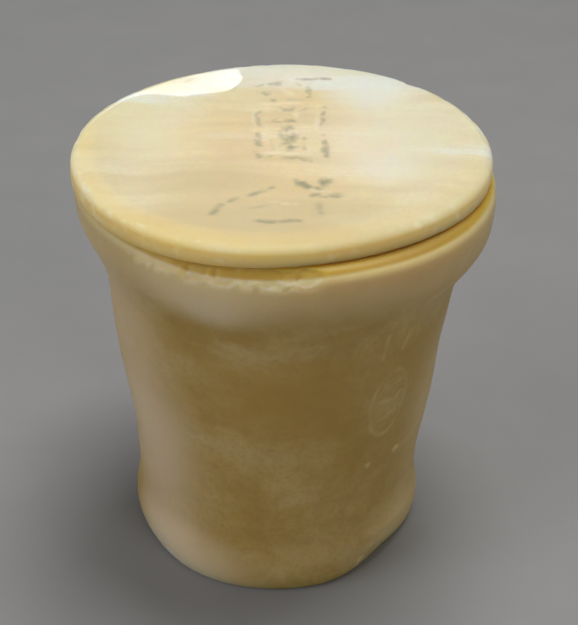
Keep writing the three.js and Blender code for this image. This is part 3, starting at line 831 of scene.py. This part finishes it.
def lay_masks(tree, colour, layers):
    """Blends tones over a colour where masks of the mesh are strong: mask, tone and amount."""
    for name, tone, amount in layers:
        colour = blend(tree, times(tree, stored(tree, name), amount), colour, tone)
    return colour


# %% The stone itself
# where in a pattern's range each tone sets in and is full
TAN_RANGE, BLOTCH_RANGE, GRAIN_RANGE = (0.5, 0.34), (0.42, 0.66), (0.45, 0.7)
BRUISE_ROUGHNESS, GRAIN_ROUGHNESS, RELIEF, CALCITE_IOR = 0.3, 0.06, 0.0002, 1.49


def stone(material, base, pale, milky, deep, settings):
    """Builds scattering stone in a material; returns what later steps add to."""
    material.use_nodes = True
    tree = material.node_tree
    shader = tree.nodes["Principled BSDF"]
    position = node(tree, "ShaderNodeTexCoord").outputs["Object"]
    clouds = node(tree, "ShaderNodeGroup", {"node_tree": bands}, Vector=position, **settings["bands"])
    surface = node(tree, "ShaderNodeGroup", {"node_tree": skin}, Vector=position,
                   Pore_Amount=settings["pores"])
    bruised = stored(tree, "bruise")
    tree.links.new(bruised, surface.inputs["Bruise"])
    colour = blend(tree, ramp(tree, clouds.outputs["Cloud"], *settings["cloud_range"]), base, pale)
    for pattern, span, amount, tone in (
        ("Streak", settings["streak_range"], settings["streak_amount"], milky),
        ("Streak", TAN_RANGE, settings["tan_amount"], deep),
        ("Mottle", BLOTCH_RANGE, settings["mottle"], deep),
        ("Vein", None, settings["vein"], deep),
        ("Speck", GRAIN_RANGE, settings["grain"], deep),
    ):
        found = clouds.outputs[pattern]
        if span:
            found = ramp(tree, found, *span)
        colour = blend(tree, times(tree, found, amount), colour, tone)
    for socket, value in (
        ("Subsurface Weight", settings["scatter"]), ("Subsurface Radius", settings["scatter_radius"]),
        ("Subsurface Scale", settings["scatter_scale"]), ("Coat Weight", settings["coat"]),
        ("Coat Roughness", settings["coat_roughness"]), ("IOR", CALCITE_IOR),
        ("Specular IOR Level", settings["specular"]),
    ):
        shader.inputs[socket].default_value = value
    rough = math_node(tree, "ADD", settings["roughness"], times(tree, bruised, BRUISE_ROUGHNESS))
    rough = math_node(tree, "ADD", rough, times(tree, clouds.outputs["Speck"], GRAIN_ROUGHNESS))
    tree.links.new(rough, shader.inputs["Roughness"])
    bump = node(tree, "ShaderNodeBump", Strength=settings["bump"], Distance=RELIEF,
                Height=surface.outputs["Height"])
    tree.links.new(bump.outputs["Normal"], shader.inputs["Normal"])
    return tree, shader, position, colour


# %% Wall stone
tree, shader, position, colour = stone(
    WALL_STONE,
    (0.43, 0.285, 0.065, 1), (0.52, 0.38, 0.14, 1), (0.60, 0.50, 0.29, 1), (0.36, 0.22, 0.045, 1),
    {
        "bands": {"Cloud_Scale": 75.0, "Streak_Scale": 60.0, "Warp": 0.006, "Turn": (0.0, 0.12, 0.3),
                  "Stretch": (0.9, 0.9, 2.2)},
        "pores": 0.5, "cloud_range": (0.36, 0.66),
        "streak_range": (0.5, 0.75), "streak_amount": 0.45, "tan_amount": 0.1,
        "mottle": 0.35, "vein": 0.12, "grain": 0.3,
        "scatter": 0.9, "scatter_radius": (1.0, 0.62, 0.22), "scatter_scale": 0.008,
        "coat": 0.05, "coat_roughness": 0.3, "specular": 0.5, "roughness": 0.5, "bump": 0.3,
    })
# centre and half sizes in millimetres, tone, amount. They mix the stone's clouds with painted light and
# painted shade: paler on the left, the right and the foot, where light falls on them, and a deeper
# golden painted shade in front below the rim
WALL_SPOTS_AND_PAINTED_LIGHT = (
    ((-19, -14, 20), (13, 13, 26), (0.72, 0.57, 0.38, 1), 0.85),
    ((-20, -12, 42), (12, 12, 14), (0.66, 0.50, 0.28, 1), 0.65),
    ((-15, -15, 2), (14, 14, 10), (0.90, 0.75, 0.54, 1), 0.7),
    ((-8, -20, 2), (11, 10, 7), (0.68, 0.56, 0.36, 1), 0.35),
    ((18, -11, 4), (10, 12, 9), (0.68, 0.54, 0.28, 1), 0.55),
    ((22, -8, 24), (8, 10, 24), (0.62, 0.47, 0.22, 1), 0.6),
    ((-10, -26, 52), (17, 9, 8), (0.81, 0.69, 0.45, 1), 0.65),
    ((-8, -25, 50), (6, 6, 5), (0.76, 0.69, 0.53, 1), 0.45),
    ((2, -21, 34), (12, 8, 12), (0.43, 0.27, 0.05, 1), 0.5),
)
colour = lay_spots(tree, position, colour, WALL_SPOTS_AND_PAINTED_LIGHT)

# %% The wall's rim and its masks
# the wall turns paler from 45 to 53 mm up: partly the stone's own tone, partly painted light on the
# rim, which faces the overhead lamp
RIM_FROM, RIM_TO, RIM_TONE, RIM_AMOUNT = 0.045, 0.053, (0.66, 0.52, 0.28, 1), 0.6
# mask, tone, amount: the first is a painted glow, the next two are painted shade, the last two are the
# stone's own marks
WALL_LAYERS = (
    ("edge", (0.86, 0.67, 0.34, 1), 0.8), ("painted_rim_shade", (0.64, 0.385, 0.03, 1), 0.97),
    ("painted_side_shade", (0.30, 0.18, 0.03, 1), 0.65), ("incised", (0.74, 0.60, 0.32, 1), 0.6),
    ("bruise", (1.0, 0.80, 0.49, 1), 0.7),
)
height_here = node(tree, "ShaderNodeSeparateXYZ", Vector=position).outputs["Z"]
rim_part = ramp(tree, height_here, RIM_FROM, RIM_TO)
colour = blend(tree, times(tree, rim_part, RIM_AMOUNT), colour, RIM_TONE)
colour = lay_masks(tree, colour, WALL_LAYERS)
tree.links.new(colour, shader.inputs["Base Color"])
print("wall stone:", len(WALL_SPOTS_AND_PAINTED_LIGHT), "spots and", len(WALL_LAYERS), "masks")

# %% Lid stone
LID_POLISH = 0.6
tree, shader, position, colour = stone(
    LID_STONE,
    (0.86, 0.695, 0.41, 1), (0.93, 0.79, 0.56, 1), (0.97, 0.885, 0.75, 1), (0.70, 0.55, 0.31, 1),
    {
        "bands": {"Cloud_Scale": 50.0, "Streak_Scale": 48.0, "Warp": 0.006, "Turn": (0.0, 0.0, -0.25),
                  "Stretch": (0.3, 2.6, 1.0)},
        "pores": 0.25, "cloud_range": (0.38, 0.68),
        "streak_range": (0.5, 0.6), "streak_amount": 0.85, "tan_amount": 0.55,
        "mottle": 0.16, "vein": 0.08, "grain": 0.2,
        "scatter": 0.95, "scatter_radius": (1.0, 0.65, 0.25), "scatter_scale": 0.008,
        "coat": LID_POLISH, "coat_roughness": 0.02, "specular": 0.12, "roughness": 0.5, "bump": 0.05,
    })
LID_SPOTS = (
    ((-6, -1, 59), (6, 8, 9), (0.74, 0.57, 0.35, 1), 0.5),
    ((-1, 17, 59), (6, 7, 9), (0.80, 0.66, 0.45, 1), 0.35),
    ((12, 17, 59), (9, 8, 9), (1.0, 0.92, 0.82, 1), 0.65),
    ((-8, -10, 59), (11, 7, 9), (0.62, 0.53, 0.33, 1), 0.5),
    ((0, -21, 59), (23, 10, 9), (0.64, 0.53, 0.31, 1), 0.6),
    ((2, 25, 59), (26, 9, 9), (1.0, 0.91, 0.80, 1), 0.6),
    ((15, 2, 59), (14, 20, 9), (0.95, 0.87, 0.73, 1), 0.45),
    ((13, -6, 59), (7, 6, 9), (0.97, 0.91, 0.80, 1), 0.35),
    ((-18, 4, 59), (9, 14, 9), (0.97, 0.84, 0.60, 1), 0.4),
)
colour = lay_spots(tree, position, colour, LID_SPOTS)

# %% The lid's masks and its polish
# mask, tone, amount: the first is a painted glow, the second painted shade, the rest are the stone's
# own marks
LID_LAYERS = (
    ("edge", (0.80, 0.575, 0.235, 1), 0.9), ("painted_skirt_shade", (0.60, 0.34, 0.05, 1), 0.5),
    ("pale", (0.98, 0.90, 0.68, 1), 0.5), ("ink", (0.20, 0.235, 0.165, 1), 0.72),
    ("bruise", (0.98, 0.88, 0.68, 1), 0.5),
)
# how much edge and how much pigment it takes for the polish to go and be gone
EDGE_DULL, INK_DULL = (0.02, 0.3), (0.02, 0.2)
colour = lay_masks(tree, colour, LID_LAYERS)
tree.links.new(colour, shader.inputs["Base Color"])
worn_off = ramp(tree, stored(tree, "edge"), *EDGE_DULL)
dull = math_node(tree, "MAXIMUM", worn_off, ramp(tree, stored(tree, "ink"), *INK_DULL))
polish = times(tree, math_node(tree, "SUBTRACT", 1.0, dull), LID_POLISH)
tree.links.new(polish, shader.inputs["Coat Weight"])
print("lid stone:", len(LID_SPOTS), "spots and", len(LID_LAYERS), "masks")
print("materials:", [m.name for m in bpy.data.materials])

# %% [markdown]
# ## The stage
# A plain floor, with a faint unevenness so that it doesn't look like a drawing, and four lights.
# The large one hangs high above and a little behind the jar, so the lid is bright, the wall lies in
# soft shade, and the jar's shadow falls forwards. A weak one from the left lightens that side of the
# wall, and a weaker one from the front right opens the shade. The last is a low oval far behind the
# jar, to its left. It adds almost no light: the polished lid mirrors its lower edge as a white patch.

# %% Floor
FLOOR_HALF, FLOOR_DROP, FLOOR_ROUGHNESS = 4.0, 0.00005, 0.85
FLOOR_TONES = (0.25, 0.256, 0.26, 1), (0.285, 0.291, 0.295, 1)
floor_mesh = bpy.data.meshes.new("floor")
signs = ((-1, -1), (1, -1), (1, 1), (-1, 1))
corners = [(sx * FLOOR_HALF, sy * FLOOR_HALF, -FLOOR_DROP) for sx, sy in signs]
floor_mesh.from_pydata(corners, [], [(0, 1, 2, 3)])
floor = bpy.data.objects.new("floor", floor_mesh)
bpy.context.scene.collection.objects.link(floor)
material = bpy.data.materials.new("pale_floor")
material.use_nodes = True
tree = material.node_tree
position = node(tree, "ShaderNodeTexCoord").outputs["Object"]
mottle = node(tree, "ShaderNodeTexNoise", Vector=position, Scale=60.0, Detail=3.0)
tone = blend(tree, mottle.outputs[0], *FLOOR_TONES)
shader = tree.nodes["Principled BSDF"]
tree.links.new(tone, shader.inputs["Base Color"])
shader.inputs["Roughness"].default_value = FLOOR_ROUGHNESS
floor.data.materials.append(material)
print("floor:", 2 * FLOOR_HALF, "m wide")


# %% Lights
def area_light(name, place, aim, size, power, colour, shape="RECTANGLE"):
    light = bpy.data.lights.new(name, "AREA")
    light.shape = shape
    light.size, light.size_y = size
    light.energy = power
    light.color = colour
    lamp = bpy.data.objects.new(name, light)
    bpy.context.scene.collection.objects.link(lamp)
    lamp.location = place
    lamp.rotation_euler = (Vector(aim) - Vector(place)).to_track_quat("-Z", "Y").to_euler()


area_light("overhead", (0.09, 0.10, 0.80), (0, 0, 0.03), (0.38, 0.34), 4.7, (1.0, 0.96, 0.93))
area_light("side", (-0.50, -0.25, 0.32), (0, 0, 0.03), (0.35, 0.35), 1.3, (0.99, 0.97, 1.0))
area_light("fill", (0.36, -0.52, 0.29), (0, 0, 0.04), (0.40, 0.40), 1.05, (1.0, 0.95, 0.86))
area_light("mirrored", (-0.117, 0.753, 0.3665), (-0.117, 0.0, 0.3665), (0.17, 0.045), 0.095,
           (0.90, 0.93, 1.0), "ELLIPSE")

world = bpy.data.worlds.new("room")
bpy.context.scene.world = world
world.use_nodes = True
background = world.node_tree.nodes["Background"]
background.inputs["Color"].default_value = (0.90, 0.90, 0.90, 1)
background.inputs["Strength"].default_value = 0.09
print("lights:", len(bpy.data.lights))

# %% [markdown]
# ## The camera
# The outlines of the lid, the rim and the foot are circles seen from above, and their flattening
# gives the camera's place: about 23 cm from the jar, looking down at 32 degrees, with the film
# rolled a little. The lens is worked out from the focal length in pixels of a 578 by 625 frame.

# %% Camera
IMAGE_HEIGHT, FOCAL_PIXELS, SENSOR, NEAREST = 625, 1522.2, 36.0, 0.005
PITCH, YAW, ROLL = 32.06 * DEGREE, 0.40 * DEGREE, 1.31 * DEGREE
CAMERA_PLACE = Vector((0.0, -0.1812, 0.1468))
forward = Vector((math.sin(YAW) * math.cos(PITCH), math.cos(YAW) * math.cos(PITCH), -math.sin(PITCH)))
level = forward.cross(Vector((0, 0, 1))).normalized()
upright = level.cross(forward)
right = level * math.cos(ROLL) + upright * math.sin(ROLL)
up = -level * math.sin(ROLL) + upright * math.cos(ROLL)

camera_data = bpy.data.cameras.new("camera")
camera_data.sensor_width = SENSOR
camera_data.lens = camera_data.sensor_width * FOCAL_PIXELS / IMAGE_HEIGHT
camera_data.clip_start = NEAREST
camera = bpy.data.objects.new("camera", camera_data)
bpy.context.scene.collection.objects.link(camera)
matrix = camera.matrix_world.copy()
for axis, column in enumerate((right, up, -forward, CAMERA_PLACE)):
    for row in range(3):
        matrix[row][axis] = column[row]
camera.matrix_world = matrix
bpy.context.scene.camera = camera
bpy.context.scene.view_settings.view_transform = "Standard"
print("lens", round(camera_data.lens, 1), "mm")

# %% [markdown]
# ## Hand over
# Each fine mesh stands for its imported solid, which is hidden. Both ride on the one body, because
# the lid only lies on the rim.

# %% Finish
for piece, solid, finish in ((jar, "jar", "wall_stone"), (lid, "lid", "lid_stone")):
    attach(piece, "root")
    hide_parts(solid)
